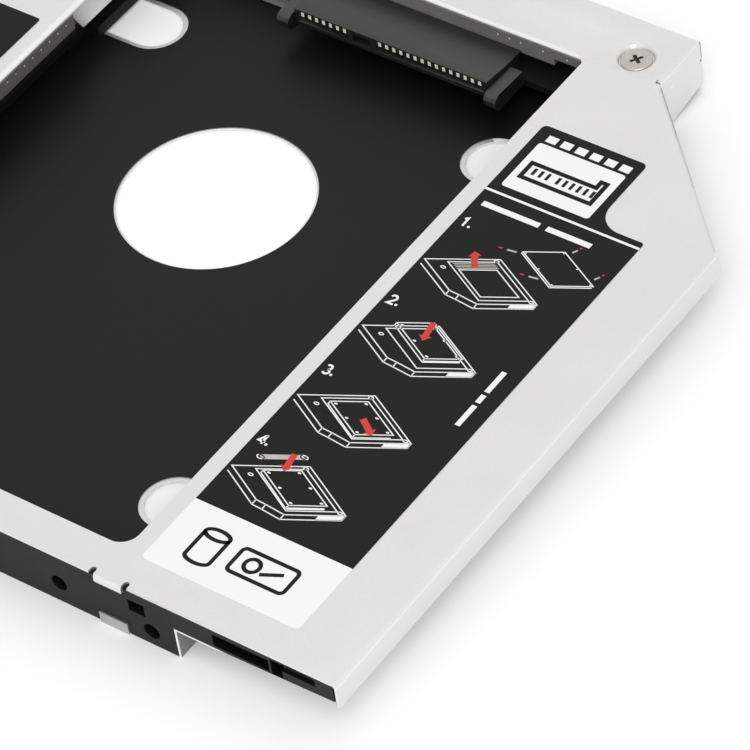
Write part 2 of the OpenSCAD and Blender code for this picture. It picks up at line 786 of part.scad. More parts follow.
// Cross recess in the top of a screw head, as a cutter with its mouth at z = 0
module cross_recess(size) {
    for (a = [0, 90]) rotate([0, 0, a])
        translate([-size / 2, -size / 10, -0.4]) cube([size, size / 5, 0.5]);
}

module cover_screws() {
    seat = body_h - pocket_depth;
    color("silver") for (p = cover_screw_spots)
        translate([p[0], p[1], 0]) difference() {
            union() {
                translate([0, 0, seat]) cylinder(d = head_d, h = head_t);
                translate([0, 0, cover_screw_low])
                    cylinder(d = screw_d, h = seat - cover_screw_low + eps);
            }
            translate([0, 0, seat + head_t]) rotate([0, 0, 20]) cross_recess(1.9);
        }
}

module base_screws() {
    color("silver") for (p = base_screw_spots)
        translate([p[0], p[1], 0]) difference() {
            union() {
                cylinder(r1 = base_head_r, r2 = screw_d / 2, h = sheet_t);
                translate([0, 0, sheet_t - eps])
                    cylinder(d = screw_d, h = base_screw_top - sheet_t + eps);
            }
            mirror([0, 0, 1]) cross_recess(1.6);
        }
}

module board_screws() {
    board_head_t = 0.7;
    color("silver") for (p = board_screw_spots)
        translate([p[0], p[1], board_top - board_t]) difference() {
            union() {
                translate([0, 0, -board_head_t]) cylinder(d = 3.6, h = board_head_t);
                translate([0, 0, -eps]) cylinder(d = screw_d, h = board_t + 2.6);
            }
            translate([0, 0, -board_head_t]) mirror([0, 0, 1]) cross_recess(1.6);
        }
}

module bracket_inserts() {
    color("goldenrod") for (x = insert_spots) difference() {
        y_hole(x, inner_rear - insert_len, insert_z, 2 * insert_r, insert_len);
        y_hole(x, inner_rear - insert_len - eps, insert_z, insert_d, insert_len + 1);
    }
}

// Labels

module label_right() {
    r = label_corner_r;
    color([0.16, 0.16, 0.15]) translate([0, 0, body_h]) linear_extrude(label_t) {
        round_rect(label_left_edge, label_left_edge + label_w, label_front, shoulder_y,
                   r, r / 2);
        round_rect(label_left_edge, shoulder_x, (label_front + shoulder_y) / 2, label_rear, r, r);
        difference() {
            translate([shoulder_x - eps, shoulder_y - eps]) square(shoulder_r);
            translate([shoulder_x + shoulder_r, shoulder_y + shoulder_r])
                circle(shoulder_r);
        }
    }
}

module label_left() {
    color([0.16, 0.16, 0.15]) translate([0, 0, body_h]) linear_extrude(label_t)
        round_rect(left_x + 2.5, bay_left - 3.34, label_front, rear_y - left_label_back,
                   label_corner_r, label_corner_r / 2);
}

bottom_plate();
insulating_film();
front_bar();
left_rail();
right_rail();
rear_frame();
connector_board();
drive_connector_housing();
drive_connector_contacts();
bay_connector_housing();
bay_connector_contacts();
board_capacitors();
board_resistors();
board_screws();
bracket_inserts();
top_cover();
cover_screws();
base_screws();
label_right();
label_left();
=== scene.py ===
# Laptop drive caddy, dressed around its CAD frame.
# X runs across the tray with the thin wing at +X, Y from the front bar to the
# connectors, Z up. The frame is in metres; sizes in the dictionaries are in mm.
import math

import bmesh
import bpy
import numpy as np
from mathutils import Matrix, Vector


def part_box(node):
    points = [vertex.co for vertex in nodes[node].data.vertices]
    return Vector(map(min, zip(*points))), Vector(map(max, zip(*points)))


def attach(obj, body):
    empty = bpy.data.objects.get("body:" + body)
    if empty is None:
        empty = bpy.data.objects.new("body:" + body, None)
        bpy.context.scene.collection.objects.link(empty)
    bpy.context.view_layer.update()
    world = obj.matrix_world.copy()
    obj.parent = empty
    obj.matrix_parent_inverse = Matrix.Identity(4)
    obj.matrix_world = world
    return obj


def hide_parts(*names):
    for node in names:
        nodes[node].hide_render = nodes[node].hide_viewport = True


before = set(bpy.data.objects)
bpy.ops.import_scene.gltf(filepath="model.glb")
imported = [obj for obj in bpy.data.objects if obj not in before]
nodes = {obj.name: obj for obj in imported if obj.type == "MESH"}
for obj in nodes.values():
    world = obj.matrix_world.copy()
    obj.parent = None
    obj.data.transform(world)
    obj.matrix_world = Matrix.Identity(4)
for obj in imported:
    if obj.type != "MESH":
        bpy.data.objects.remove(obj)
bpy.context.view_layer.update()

mm = 0.001


def boxOf(node):
    # Low and high corner of a CAD node in mm
    low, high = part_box(node)
    return np.array(low) / mm, np.array(high) / mm


trayLow, trayHigh = boxOf("top_cover")
print("frame loaded:", len(nodes), "nodes")


# Camera: the photograph's place, lens and turn
cameraView = {
    "place": (349.81, -361.55, 475.05),
    "azimuth": 42.157,
    "elevation": 44.873,
    "roll": -9.373,
    "lens": 234.51,
    "sensor": 36.0,
}


def placeCamera(view):
    # Level axes from azimuth and elevation, then turned about the line of sight
    turn, rise, roll = (math.radians(view[key]) for key in ("azimuth", "elevation", "roll"))
    back = Vector((math.sin(turn) * math.cos(rise), -math.cos(turn) * math.cos(rise),
                   math.sin(rise)))
    level = Vector((math.cos(turn), math.sin(turn), 0))
    right = level * math.cos(roll) + back.cross(level) * math.sin(roll)
    up = back.cross(right)
    data = bpy.data.cameras.new("photoCamera")
    data.sensor_width = view["sensor"]
    data.lens = view["lens"]
    data.clip_start, data.clip_end = 0.01, 20
    camera = bpy.data.objects.new("photoCamera", data)
    axes = Matrix((right, up, back)).transposed().to_4x4()
    camera.matrix_world = Matrix.Translation(Vector(view["place"]) * mm) @ axes
    bpy.context.collection.objects.link(camera)
    bpy.context.scene.camera = camera


placeCamera(cameraView)


# Light and floor
studio = {
    "worldLight": 0.82,
    "floorSize": 4000,
    "floorColour": (0.97, 0.972, 0.972, 1),
    "floorGlow": 0.025,
    "lamps": [  # place in mm, size in mm, watts
        ((480, -520, 900), 900, 4.6),
    ],
}


def lightStudio(setup):
    scene = bpy.context.scene
    scene.view_settings.view_transform = "Standard"
    world = bpy.data.worlds.new("paleStudio")
    world.use_nodes = True
    world.node_tree.nodes["Background"].inputs["Color"].default_value = (1, 1, 1, 1)
    world.node_tree.nodes["Background"].inputs["Strength"].default_value = setup["worldLight"]
    scene.world = world
    for number, (place, size, watts) in enumerate(setup["lamps"]):
        lamp = bpy.data.lights.new(f"softBox{number}", "AREA")
        lamp.size = size * mm
        lamp.energy = watts
        holder = bpy.data.objects.new(f"softBox{number}", lamp)
        holder.location = Vector(place) * mm
        holder.rotation_euler = (-holder.location).to_track_quat("-Z", "Y").to_euler()
        bpy.context.collection.objects.link(holder)


def layFloor(setup):
    half = setup["floorSize"] / 2 * mm
    mesh = bpy.data.meshes.new("tableTop")
    mesh.from_pydata([(-half, -half, 0), (half, -half, 0), (half, half, 0), (-half, half, 0)],
                     [], [(0, 1, 2, 3)])
    paint = bpy.data.materials.new("tableWhite")
    paint.use_nodes = True
    shader = paint.node_tree.nodes["Principled BSDF"]
    shader.inputs["Base Color"].default_value = setup["floorColour"]
    shader.inputs["Roughness"].default_value = 0.8
    shader.inputs["Specular IOR Level"].default_value = 0.1
    shader.inputs["Emission Color"].default_value = (1, 1, 1, 1)
    shader.inputs["Emission Strength"].default_value = setup["floorGlow"]
    mesh.materials.append(paint)
    floor = bpy.data.objects.new("tableTop", mesh)
    bpy.context.collection.objects.link(floor)


lightStudio(studio)
layFloor(studio)
print("camera, lights and floor ready")


# Shader nodes
def addNode(tree, kind, settings=None, inputs=None):
    # A node with its settings, and its inputs either linked or given a value
    node = tree.nodes.new(kind)
    for name, value in (settings or {}).items():
        setattr(node, name, value)
    for name, value in (inputs or {}).items():
        if isinstance(value, bpy.types.NodeSocket):
            tree.links.new(value, node.inputs[name])
        else:
            node.inputs[name].default_value = value
    return node


def newGroup(name, inputs, outputs):
    # A shader node group with named sockets, given as (name, kind)
    group = bpy.data.node_groups.new(name, "ShaderNodeTree")
    for direction, sockets in (("INPUT", inputs), ("OUTPUT", outputs)):
        for socket, kind in sockets:
            group.interface.new_socket(name=socket, in_out=direction,
                                       socket_type="NodeSocket" + kind)
    return group, group.nodes.new("NodeGroupInput").outputs


def closeGroup(group, results):
    end = group.nodes.new("NodeGroupOutput")
    for name, socket in results.items():
        group.links.new(socket, end.inputs[name])
    return group


def blendFloat(tree, mask, low, high):
    return addNode(tree, "ShaderNodeMapRange", None,
                   {"Value": mask, "To Min": low, "To Max": high}).outputs["Result"]


def blendColour(tree, mask, dark, light):
    mix = addNode(tree, "ShaderNodeMix", {"data_type": "RGBA"})
    tree.links.new(mask, mix.inputs[0])
    tree.links.new(dark, mix.inputs[6])
    tree.links.new(light, mix.inputs[7])
    return mix.outputs[2]


def makeFinishGroup():
    # Fine specks over soft clouds: colour between two shades, roughness between
    # two values, and the specks' height
    group, inside = newGroup(
        "speckedFinish",
        [("Vector", "Vector"), ("Dark Shade", "Color"), ("Light Shade", "Color"),
         ("Speck Scale", "Float"), ("Cloud Scale", "Float"), ("Cloud Share", "Float"),
         ("Rough Low", "Float"), ("Rough High", "Float")],
        [("Color", "Color"), ("Roughness", "Float"), ("Height", "Float")])
    specks = addNode(group, "ShaderNodeTexNoise", None, {
        "Vector": inside["Vector"], "Scale": inside["Speck Scale"], "Detail": 3.0,
        "Roughness": 0.6}).outputs["Fac"]
    clouds = addNode(group, "ShaderNodeTexNoise", None, {
        "Vector": inside["Vector"], "Scale": inside["Cloud Scale"], "Detail": 4.0,
        "Roughness": 0.55}).outputs["Fac"]
    mixed = addNode(group, "ShaderNodeMix", {"data_type": "FLOAT"})
    group.links.new(inside["Cloud Share"], mixed.inputs[0])
    group.links.new(specks, mixed.inputs[2])
    group.links.new(clouds, mixed.inputs[3])
    spread = addNode(group, "ShaderNodeMapRange", None, {
        "Value": mixed.outputs[0], "From Min": 0.3, "From Max": 0.7})
    mask = spread.outputs["Result"]
    return closeGroup(group, {
        "Color": blendColour(group, mask, inside["Dark Shade"], inside["Light Shade"]),
        "Roughness": blendFloat(group, mask, inside["Rough Low"], inside["Rough High"]),
        "Height": specks})


def makeLinesGroup():
    # Long hair lines along one axis: the vector is squeezed along it first
    group, inside = newGroup(
        "hairLines",
        [("Vector", "Vector"), ("Stretch", "Vector"), ("Scale", "Float"),
         ("Color", "Color"), ("Darker", "Color")],
        [("Color", "Color"), ("Height", "Float")])
    stretched = addNode(group, "ShaderNodeVectorMath", {"operation": "MULTIPLY"})
    group.links.new(inside["Vector"], stretched.inputs[0])
    group.links.new(inside["Stretch"], stretched.inputs[1])
    lines = addNode(group, "ShaderNodeTexNoise", None, {
        "Vector": stretched.outputs["Vector"], "Scale": inside["Scale"],
        "Detail": 2.0}).outputs["Fac"]
    mask = addNode(group, "ShaderNodeMapRange", None, {
        "Value": lines, "From Min": 0.35, "From Max": 0.6}).outputs["Result"]
    return closeGroup(group, {
        "Color": blendColour(group, mask, inside["Darker"], inside["Color"]),
        "Height": lines})


finishGroup = makeFinishGroup()
linesGroup = makeLinesGroup()


def shade(level, tint=(1, 1, 1)):
    # An sRGB level from 0 to 255 as a linear colour
    share = level / 255
    linear = share / 12.92 if share <= 0.04045 else ((share + 0.055) / 1.055) ** 2.4
    return (*(linear * part for part in tint), 1)


def makeMaterial(name, look):
    # look: shades, specks and clouds in mm, roughness range, bump and shader values
    material = bpy.data.materials.new(name)
    material.use_nodes = True
    tree = material.node_tree
    shader = tree.nodes["Principled BSDF"]
    place = addNode(tree, "ShaderNodeTexCoord").outputs["Object"]
    tint = look.get("tint", (1, 1, 1))
    finish = addNode(tree, "ShaderNodeGroup", {"node_tree": finishGroup}, {
        "Vector": place,
        "Dark Shade": shade(look["dark"], tint), "Light Shade": shade(look["light"], tint),
        "Speck Scale": 1 / (look["speck"] * mm), "Cloud Scale": 1 / (look["cloud"] * mm),
        "Cloud Share": look.get("cloudShare", 0.4),
        "Rough Low": look["rough"][0], "Rough High": look["rough"][1]})
    colour, height = finish.outputs["Color"], finish.outputs["Height"]
    if "lines" in look:
        lines = addNode(tree, "ShaderNodeGroup", {"node_tree": linesGroup}, {
            "Vector": place, "Stretch": look["lines"], "Scale": 1 / (look["lineSize"] * mm),
            "Color": colour, "Darker": shade(look["lineDark"], tint)})
        colour, height = lines.outputs["Color"], lines.outputs["Height"]
    tree.links.new(colour, shader.inputs["Base Color"])
    tree.links.new(finish.outputs["Roughness"], shader.inputs["Roughness"])
    bump = addNode(tree, "ShaderNodeBump", None, {
        "Strength": look.get("bump", 0.1), "Distance": look["speck"] * mm, "Height": height})
    tree.links.new(bump.outputs["Normal"], shader.inputs["Normal"])
    shader.inputs["Metallic"].default_value = look.get("metal", 0.0)
    shader.inputs["Specular IOR Level"].default_value = look.get("specular", 0.5)
    return material


looks = {
    "satinSteel": {"dark": 234, "light": 244, "tint": (1, 0.995, 0.975), "speck": 0.16,
                   "cloud": 14, "cloudShare": 0.35, "rough": (0.36, 0.5), "bump": 0.10,
                   "metal": 0.85},
    "plateSteel": {"dark": 228, "light": 242, "tint": (1, 1, 0.985), "speck": 0.16,
                   "cloud": 10, "rough": (0.3, 0.46), "bump": 0.10, "metal": 0.85},
    # Front tabs: a darker copy of the plate's steel, painted shade
    "tabShadeSteel": {"dark": 172, "light": 196, "tint": (1, 1, 0.98), "speck": 0.14,
                 "cloud": 2, "rough": (0.36, 0.5), "bump": 0.14, "metal": 0.85},
    # Step wall under the wing's shelf: painted shade
    "stepShadeSteel": {"dark": 132, "light": 150, "tint": (1, 0.97, 0.91), "speck": 0.14,
                  "cloud": 3, "rough": (0.4, 0.55), "bump": 0.14, "metal": 0.7},
    # Pale skin along the bay's edge: painted highlight
    "paleSteel": {"dark": 240, "light": 248, "tint": (1, 0.998, 0.985), "speck": 0.16,
                  "cloud": 8, "rough": (0.36, 0.5), "bump": 0.08, "metal": 0.5},
    # Greys along the sloping corner's fold: painted shade
    "greySteel": {"dark": 168, "light": 190, "tint": (1, 0.995, 0.98), "speck": 0.16,
                  "cloud": 6, "rough": (0.36, 0.5), "bump": 0.08, "metal": 0.7},
    # Walls facing +X: a darker copy of the cover's steel, painted shade
    "wallShadeSteel": {"dark": 222, "light": 232, "tint": (1, 1, 0.98), "speck": 0.16,
                  "cloud": 14, "cloudShare": 0.35, "rough": (0.36, 0.5), "bump": 0.1,
                  "metal": 0.85},
    "seamShade": {"dark": 96, "light": 124, "tint": (1, 0.97, 0.93), "speck": 0.1,
                  "cloud": 2, "rough": (0.4, 0.5), "bump": 0.05, "metal": 0.4},
    # Lighter greys of the sloping corner's painted shade
    "softGreySteel": {"dark": 194, "light": 210, "tint": (1, 0.995, 0.98), "speck": 0.16,
                      "cloud": 6, "rough": (0.36, 0.5), "bump": 0.08, "metal": 0.7},
    "paleGreySteel": {"dark": 216, "light": 228, "tint": (1, 0.995, 0.98), "speck": 0.16,
                      "cloud": 6, "rough": (0.36, 0.5), "bump": 0.08, "metal": 0.7},
    # Cut edges and the bay rim's narrow skin: painted highlight
    "cutSteel": {"dark": 240, "light": 250, "speck": 0.1, "cloud": 3,
                 "rough": (0.3, 0.4), "bump": 0.05, "metal": 0.3},
    "blackFilm": {"dark": 9, "light": 13, "tint": (1, 1, 1), "speck": 0.12,
                  "cloud": 26, "cloudShare": 0.5, "rough": (0.4, 0.5), "bump": 0.04,
                  "specular": 0.27},
    "blackPlastic": {"dark": 7, "light": 15, "tint": (1, 1, 0.98), "speck": 0.2,
                     "cloud": 6, "rough": (0.42, 0.58), "bump": 0.25, "specular": 0.24},
    "railPlastic": {"dark": 84, "light": 104, "tint": (1.03, 0.96, 1.0), "speck": 0.22,
                    "cloud": 8, "rough": (0.45, 0.65), "bump": 0.3, "specular": 0.3},
    "railShade": {"dark": 10, "light": 18, "speck": 0.22, "cloud": 8,
                  "rough": (0.5, 0.65), "bump": 0.2, "specular": 0.2},
    "framePlastic": {"dark": 104, "light": 126, "tint": (1.03, 0.96, 1.0), "speck": 0.22,
                     "cloud": 8, "rough": (0.45, 0.65), "bump": 0.3, "specular": 0.3},
    "connectorPlastic": {"dark": 21, "light": 30, "speck": 0.12, "cloud": 4,
                         "rough": (0.32, 0.42), "bump": 0.08, "specular": 0.9},
    # Guide arm tops: a lighter copy of the connector's plastic, painted sheen
    "armSheenPlastic": {"dark": 42, "light": 54, "speck": 0.12, "cloud": 3,
                   "rough": (0.32, 0.42), "bump": 0.08, "specular": 0.7},
    # Contacts: nearly white gold, painted highlight for their glints
    "goldPlate": {"dark": 246, "light": 254, "tint": (1, 0.95, 0.8), "speck": 0.1,
                  "cloud": 2, "rough": (0.2, 0.32), "bump": 0.05},
    "nickel": {"dark": 196, "light": 224, "tint": (1, 0.95, 0.86), "speck": 0.1,
               "cloud": 2, "rough": (0.16, 0.3), "bump": 0.05, "metal": 1.0},
    "crossShade": {"dark": 52, "light": 84, "tint": (1, 0.94, 0.86), "speck": 0.1,
                   "cloud": 1, "rough": (0.4, 0.5), "bump": 0.05, "metal": 0.6},
    "screwNickel": {"dark": 186, "light": 222, "tint": (1, 0.94, 0.86), "speck": 0.1,
                    "cloud": 1.2, "rough": (0.2, 0.34), "bump": 0.1, "metal": 0.8},
    # Pips: light grey, painted highlight on the real bumps
    "pipGrey": {"dark": 200, "light": 226, "speck": 0.1, "cloud": 2,
                "rough": (0.35, 0.5), "bump": 0.05},
    "brass": {"dark": 196, "light": 224, "tint": (1, 0.78, 0.4), "speck": 0.1, "cloud": 2,
              "rough": (0.22, 0.36), "bump": 0.06, "metal": 1.0,
              "lines": (1, 0.05, 1), "lineSize": 0.2, "lineDark": 170},
    "boardBlack": {"dark": 24, "light": 32, "tint": (0.85, 1, 0.9), "speck": 0.2,
                   "cloud": 5, "rough": (0.25, 0.4), "bump": 0.05, "specular": 0.2},
    "capacitorClay": {"dark": 150, "light": 176, "tint": (1, 0.82, 0.6), "speck": 0.08,
                      "cloud": 1, "rough": (0.5, 0.6), "bump": 0.05},
    "resistorBlack": {"dark": 26, "light": 40, "speck": 0.08, "cloud": 1,
                      "rough": (0.35, 0.5), "bump": 0.05},
    "labelBlack": {"dark": 29, "light": 34, "tint": (1, 0.99, 0.93), "speck": 0.08,
                   "cloud": 9, "rough": (0.42, 0.52), "bump": 0.04, "specular": 0.1},
    "labelWhite": {"dark": 236, "light": 243, "speck": 0.08, "cloud": 9,
                   "rough": (0.42, 0.52), "bump": 0.04, "specular": 0.2},
    "labelRed": {"dark": 196, "light": 212, "tint": (1, 0.09, 0.075), "speck": 0.08,
                 "cloud": 3, "rough": (0.42, 0.52), "bump": 0.04, "specular": 0.2},
}
materials = {name: makeMaterial(name, look) for name, look in looks.items()}
print("materials ready:", len(materials))


# Mesh helpers
def addPiece(name, verts, faces, material, slot, stands=()):
    # A mesh in mm becomes a piece of the tray, in place
    mesh = bpy.data.meshes.new(name)
    mesh.from_pydata((np.asarray(verts, float) * mm).tolist(), [], faces)
    mesh.validate()
    mesh.materials.append(materials[material])
    return fitPiece(name, mesh, stands)


def fitPiece(name, mesh, stands=()):
    piece = bpy.data.objects.new(name, mesh)
    bpy.context.collection.objects.link(piece)
    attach(piece, "root")
    if stands:
        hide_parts(*stands)
    return piece


def joinParts(parts):
    # Several (verts, faces) as one mesh
    verts, faces, start = [], [], 0
    for points, polygons in parts:
        verts.append(np.asarray(points, float))
        faces += [tuple(start + corner for corner in polygon) for polygon in polygons]
        start += len(points)
    return np.concatenate(verts), faces


def gridFaces(rows, columns, wrapRows=False, wrapColumns=False):
    # Quads of a rows x columns grid of points, closed round either way
    rowSteps = rows if wrapRows else rows - 1
    columnSteps = columns if wrapColumns else columns - 1
    row, column = np.meshgrid(np.arange(rowSteps), np.arange(columnSteps), indexing="ij")
    nextRow, nextColumn = (row + 1) % rows, (column + 1) % columns
    quads = np.stack([row * columns + column, nextRow * columns + column,
                      nextRow * columns + nextColumn, row * columns + nextColumn], -1)
    return [tuple(quad) for quad in quads.reshape(-1, 4).tolist()]


def faceMiddles(mesh):
    # Middle of every face in mm
    middles = np.empty(len(mesh.polygons) * 3)
    mesh.polygons.foreach_get("center", middles)
    return middles.reshape(-1, 3) / mm


def softened(node, material, width, rim=None, patches=(), cut=None, smooth=32,
             segments=2):
    # A merged copy of a CAD node with small rounds on its sharp edges. rim gives
    # a larger round and tells which edges get it, a patch is a second material
    # with the test that picks its faces, and cut is a level that splits faces
    mesh = nodes[node].data.copy()
    mesh.name = node + "_finished"
    work = bmesh.new()
    work.from_mesh(mesh)
    bmesh.ops.remove_doubles(work, verts=work.verts, dist=2e-6)
    if cut:
        bmesh.ops.bisect_plane(work, geom=[*work.verts, *work.edges, *work.faces],
                               dist=1e-6, plane_co=(0, 0, cut * mm), plane_no=(0, 0, 1))
    weights = work.edges.layers.float.new("bevel_weight_edge")
    largest = rim[0] if rim else width
    for side in work.edges:
        if len(side.link_faces) == 2 and side.calc_face_angle(0) > math.radians(smooth):
            ends = [np.array(end.co) / mm for end in side.verts]
            side[weights] = 1 if rim and rim[1](*ends) else width / largest
    work.to_mesh(mesh)
    work.free()
    mesh.materials.clear()
    mesh.materials.append(materials[material])
    chosen = np.zeros(len(mesh.polygons), int)
    for number, (patchMaterial, picks) in enumerate(patches, 1):
        mesh.materials.append(materials[patchMaterial])
        chosen[picks(faceMiddles(mesh))] = number
    mesh.polygons.foreach_set("material_index", chosen)
    mesh.polygons.foreach_set("use_smooth", np.ones(len(mesh.polygons), bool))
    mesh.set_sharp_from_angle(angle=math.radians(smooth))
    piece = fitPiece(node + "_finished", mesh, (node,))
    bevel = piece.modifiers.new("softEdges", "BEVEL")
    bevel.width = largest * mm
    bevel.segments = segments
    bevel.limit_method = "WEIGHT"
    bevel.use_clamp_overlap = True
    bevel.harden_normals = True
    return piece


def shadeSmooth(piece, angle):
    mesh = piece.data
    mesh.polygons.foreach_set("use_smooth", np.ones(len(mesh.polygons), bool))
    mesh.set_sharp_from_angle(angle=math.radians(angle))


def dressNode(node, material):
    for holder in nodes[node].material_slots:
        holder.material = materials[material]


# CAD nodes that keep their form, with small rounds where they show
softPieces = {
    "top_cover": ("satinSteel", "satin_steel", 0.05),
    "bottom_plate": ("plateSteel", "satin_steel", 0.05),
    "left_rail": ("railPlastic", "grey_plastic", 0.08),
    "right_rail": ("railPlastic", "grey_plastic", 0.08),
    "rear_frame": ("framePlastic", "grey_plastic", 0.08),
    "drive_connector_housing": ("connectorPlastic", "connector_plastic", 0.05),
    "bay_connector_housing": ("connectorPlastic", "connector_plastic", 0.06),
}
plainNodes = {
    "front_bar": "blackPlastic",
    "insulating_film": "blackFilm", "connector_board": "boardBlack",
    "drive_connector_contacts": "goldPlate", "bay_connector_contacts": "goldPlate",
    "board_capacitors": "capacitorClay", "board_resistors": "resistorBlack",
    "board_screws": "nickel", "base_screws": "nickel", "bracket_inserts": "brass",
    "label_right": "labelBlack", "label_left": "labelBlack",
}
bayEdge = {
    "leftX": boxOf("left_rail")[1][0], "rearY": boxOf("rear_frame")[0][1] + 0.9,
    "round": 0.28, "railShadeZ": 6.45, "rearShadeZ": 6.3,
}


def onBayRim(start, end):
    # The opening's left and rear edges on the cover's top face
    top = min(start[2], end[2]) > trayHigh[2] - 0.02
    left = max(abs(start[0] - bayEdge["leftX"]), abs(end[0] - bayEdge["leftX"])) < 0.15
    rear = max(abs(start[1] - bayEdge["rearY"]), abs(end[1] - bayEdge["rearY"])) < 0.15
    return top and (left or rear)


def onStepWall(middle):
    # The step wall's outer face, under the wing's shelf, which takes painted shade
    return (middle[:, 0] > plateStep - 0.05) & (middle[:, 0] < plateStep + 0.05)


def onCutEdge(middle):
    # The step wall's and the shelf's cut edges beside the front bar, which take a painted highlight
    return (middle[:, 0] > plateStep - 0.45) & (middle[:, 1] < trayLow[1] + 0.5)


plateStep = 37.45
def onArmTops(middle):
    # The tops of the guides beside the drive connector, which take a lighter plastic as painted sheen
    beside = (middle[:, 0] > armInner[1]) | (middle[:, 0] < armInner[0])
    return beside & (middle[:, 2] > 5.9)


def onRightWalls(middle):
    # The wing's outer wall and the rear corner's wall, which face +X and take a darker copy of the
    # cover's steel as painted shade
    wing = middle[:, 0] > trayHigh[0] - 0.02
    rear = (abs(middle[:, 0] - rearWallX) < 0.02) & (middle[:, 1] > 52.9)
    return wing | rear


rearWallX = 37.95
armInner = (-20.2, 14.7)
rims = {"top_cover": (bayEdge["round"], onBayRim)}
turnLimits = {"drive_connector_housing": 28}
cuts = {"left_rail": bayEdge["railShadeZ"], "rear_frame": bayEdge["rearShadeZ"]}
patches = {
    "left_rail": [("railShade", lambda middle: middle[:, 2] < bayEdge["railShadeZ"])],
    "rear_frame": [("railShade", lambda middle: middle[:, 2] < bayEdge["rearShadeZ"])],
    # The plate's front tabs take painted shade
    "bottom_plate": [("tabShadeSteel", lambda middle: (middle[:, 1] < trayLow[1] + 0.5)
                      & (middle[:, 2] < 2.2)),
                     ("stepShadeSteel", onStepWall), ("cutSteel", onCutEdge)],
    "drive_connector_housing": [("armSheenPlastic", onArmTops)],
    "top_cover": [("wallShadeSteel", onRightWalls)],
}
for node, (material, slot, width) in softPieces.items():
    softened(node, material, width, rims.get(node), patches.get(node, ()),
             cuts.get(node), turnLimits.get(node, 32))
for node, material in plainNodes.items():
    dressNode(node, material)
print("CAD nodes dressed")


# Cover screws: a low dished head with a cross recess, on a plain shank
coverScrew = {
    "spots": [(31.97, 55.46), (-58.02, 55.46)],
    "headRadius": 2.35, "headHeight": 0.55, "edgeRound": 0.22,
    "crossLength": 0.95, "crossWidth": 0.22, "crossDepth": 0.42, "crossSlope": 0.16,
    "crossTurn": -35,  # degrees
    "shankRadius": 1.0,
    "rings": 44, "steps": 96,
}


def screwSurface(spec, seat, foot):
    # Rings round the axis: the head's height over a ring's radius r is the full
    # height less a quarter round at the rim, and the recess takes away a depth
    # that runs from nothing to full over the wall's slope
    around = np.linspace(0, 2 * np.pi, spec["steps"], endpoint=False)
    rim, soft, high = spec["headRadius"], spec["edgeRound"], seat + spec["headHeight"]
    radius = np.concatenate([np.linspace(0.01, rim - soft, spec["rings"]),
                             rim - soft + soft * np.sin(np.linspace(0.2, 1, 6) * np.pi / 2)])
    fall = np.clip((radius - rim + soft) / soft, 0, 1)
    height = high - soft * (1 - np.sqrt(1 - fall ** 2)) - 0.02 * (radius / rim) ** 2
    x, y = radius[:, None] * np.cos(around), radius[:, None] * np.sin(around)
    z = np.broadcast_to(height[:, None], x.shape).copy()
    turn = math.radians(spec["crossTurn"])
    along = np.abs(x * math.cos(turn) + y * math.sin(turn))
    across = np.abs(-x * math.sin(turn) + y * math.cos(turn))
    longest, shortest = np.maximum(along, across), np.minimum(along, across)
    inside = np.minimum(spec["crossLength"] - longest, spec["crossWidth"] - shortest)
    z -= spec["crossDepth"] * np.clip(inside / spec["crossSlope"] + 0.5, 0, 1)
    lower = [(rim, seat), (spec["shankRadius"], seat), (spec["shankRadius"], foot),
             (0.01, foot)]
    rings = [np.stack([x, y, z], -1)]
    for r, level in lower:
        rings.append(np.stack([r * np.cos(around), r * np.sin(around),
                               np.full(len(around), level)], -1)[None])
    return np.concatenate(rings)


def makeCoverScrews(spec):
    low, high = boxOf("cover_screws")
    grid = screwSurface(spec, high[2] - spec["headHeight"], low[2])
    rows, columns = grid.shape[:2]
    faces = gridFaces(rows, columns, False, True)
    faces = [face[::-1] for face in faces]
    faces += [tuple(range(columns)), tuple((rows - 1) * columns + k for k in range(columns))[::-1]]
    parts = [(grid.reshape(-1, 3) + (x, y, 0), faces) for x, y in spec["spots"]]
    piece = addPiece("cover_screw_heads", *joinParts(parts), "screwNickel", "nickel",
                     ("cover_screws",))
    shadeSmooth(piece, 35)
    # The recess, below the head's face and near an axis, is darker
    middles = faceMiddles(piece.data)
    away = np.min([np.hypot(middles[:, 0] - x, middles[:, 1] - y)
                   for x, y in spec["spots"]], axis=0)
    recess = (away < spec["crossLength"] * 1.1) & (middles[:, 2] < high[2] - 0.1) \
        & (middles[:, 2] > high[2] - spec["headHeight"] + 0.01)
    piece.data.materials.append(materials["crossShade"])
    piece.data.polygons.foreach_set("material_index", recess.astype(int))


# Moulding pips along the dark bands, their light grey a painted highlight on the real bumps, and a
# pressed dimple in the rear right wall
smallMarks = {
    "pipRadius": 0.13, "pipHeight": 0.07,
    "railPipY": np.arange(8.6, 23, 2.0), "railPipZ": 8.3,
    "rearPipX": (10.5, 12.5, 14.5, 18.4, 22.6), "rearPipZ": 8.2,
    "cornerFill": ((37.3, 52.66, 5.7), (37.9, 52.96, 9.36)),
    "seam": ((37.9, 62.84, 6.1), (37.96, 62.98, 9.1)),
    "seamDot": (37.93, 62.7, 5.75), "seamDotSize": (0.2, 0.3),
    "dimplePlace": (37.93, 55.07, 6.83), "dimpleSize": (0.55, 0.32), "dimpleRise": 0.16,
}


